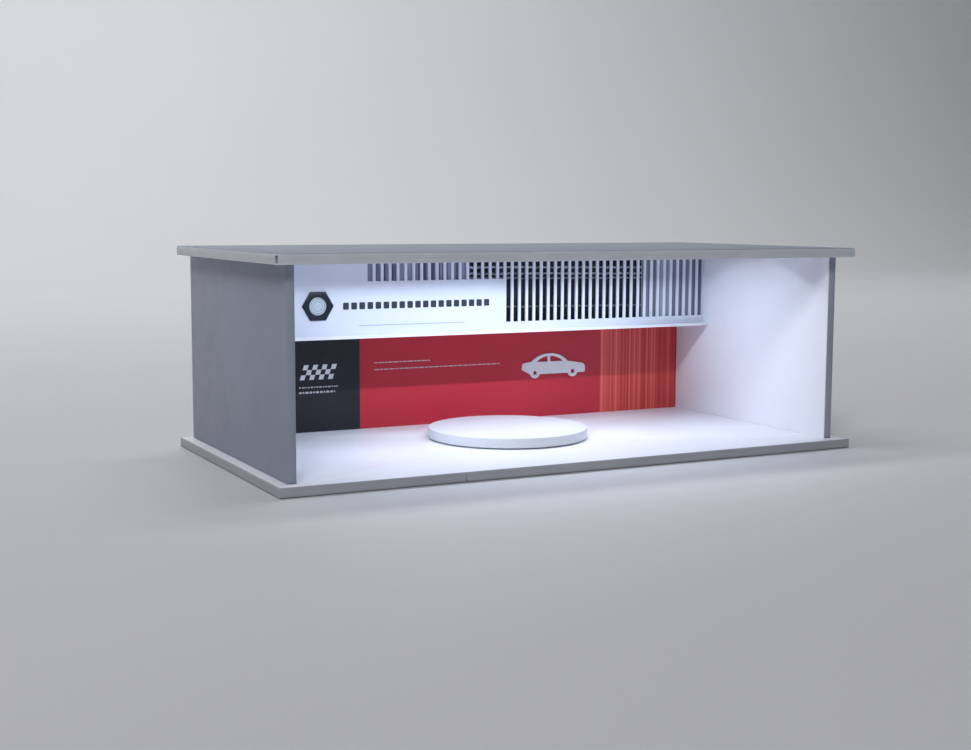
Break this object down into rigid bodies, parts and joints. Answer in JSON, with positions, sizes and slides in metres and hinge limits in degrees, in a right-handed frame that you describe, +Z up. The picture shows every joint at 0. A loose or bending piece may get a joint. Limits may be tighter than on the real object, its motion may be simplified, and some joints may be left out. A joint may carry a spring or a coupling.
{
  "type": "turntable display stand",
  "caption": "Open-fronted lit display stand for small model cars, with a slatted fascia, a printed backdrop, an LED strip under the roof and a round turntable in the floor.",
  "frame": {"origin": "middle of the underside of the 300 x 150 mm base", "axes": "+X along the width to the viewer's right, +Y from the open front to the back wall, +Z up"},
  "size_m": [0.3, 0.15, 0.1],
  "materials": {
    "foam_board": "grey closed-cell PVC foam board, satin skin",
    "edge_banding": "grey edge banding",
    "white_sheet": "white rigid sheet, satin",
    "printed_backdrop": "printed sheet: dark block, red field, striped end",
    "printed_film": "dark printed film with pale dashes",
    "dark_badge": "dark sheet",
    "white_badge": "white sheet",
    "white_disc": "white board disc",
    "turned_aluminium": "turned",
    "bearing_steel": "ground bearing steel",
    "cage_brass": "pressed brass",
    "led_board": "white solder mask",
    "led_chip": "lit package, emissive",
    "lead_red": "red lead insulation",
    "lead_black": "black lead insulation",
    "clip_plastic": "moulded",
    "jack_plastic": "moulded",
    "jack_metal": "nickel plated"
  },
  "bodies": {
    "case": {"base_board": "foam_board", "roof_board": "foam_board", "left_wall": "foam_board", "right_wall": "foam_board", "back_wall": "foam_board", "fascia_backing": "foam_board", "base_edge_band": "edge_banding", "roof_edge_band": "edge_banding", "floor_liner": "white_sheet", "ceiling_liner": "white_sheet", "left_liner": "white_sheet", "right_liner": "white_sheet", "fascia_front": "white_sheet", "fascia_soffit": "white_sheet", "backdrop_panel": "printed_backdrop", "fascia_film": "printed_film", "sign_badge": "dark_badge", "backdrop_badge": "white_badge", "bearing_outer_ring": "bearing_steel", "led_board": "led_board", "led_chip_01": "led_chip", "led_chip_02": "led_chip", "led_chip_03": "led_chip", "led_chip_04": "led_chip", "led_chip_05": "led_chip", "led_chip_06": "led_chip", "led_chip_07": "led_chip", "led_chip_08": "led_chip", "led_chip_09": "led_chip", "led_chip_10": "led_chip", "led_chip_11": "led_chip", "led_chip_12": "led_chip", "led_lead_positive": "lead_red", "led_lead_negative": "lead_black", "lead_clip_1": "clip_plastic", "lead_clip_2": "clip_plastic", "power_jack_body": "jack_plastic", "power_jack_pin": "jack_metal", "power_jack_nut": "jack_metal", "power_jack_tab_positive": "jack_metal", "power_jack_tab_negative": "jack_metal"},
    "turntable": {"turntable_disc": "white_disc", "turntable_hub": "turned_aluminium", "hub_screw": "bearing_steel", "bearing_inner_ring": "bearing_steel"},
    "ball_set": {"bearing_cage": "cage_brass", "bearing_ball_01": "bearing_steel", "bearing_ball_02": "bearing_steel", "bearing_ball_03": "bearing_steel", "bearing_ball_04": "bearing_steel", "bearing_ball_05": "bearing_steel", "bearing_ball_06": "bearing_steel", "bearing_ball_07": "bearing_steel", "bearing_ball_08": "bearing_steel", "bearing_ball_09": "bearing_steel", "bearing_ball_10": "bearing_steel"}
  },
  "joints": [
    {"name": "turntable_spin", "type": "hinge", "parent": "case", "child": "turntable", "pos_m": [-0.002, 0.005, 0.00275], "axis": [0, 0, 1], "continuous": true},
    {"name": "ball_set_orbit", "type": "hinge", "parent": "case", "child": "ball_set", "pos_m": [-0.002, 0.005, 0.00275], "axis": [0, 0, 1], "continuous": true}
  ],
  "couplings": [
    {"joint": "ball_set_orbit", "follows": "turntable_spin", "ratio": 0.45833}
  ]
}
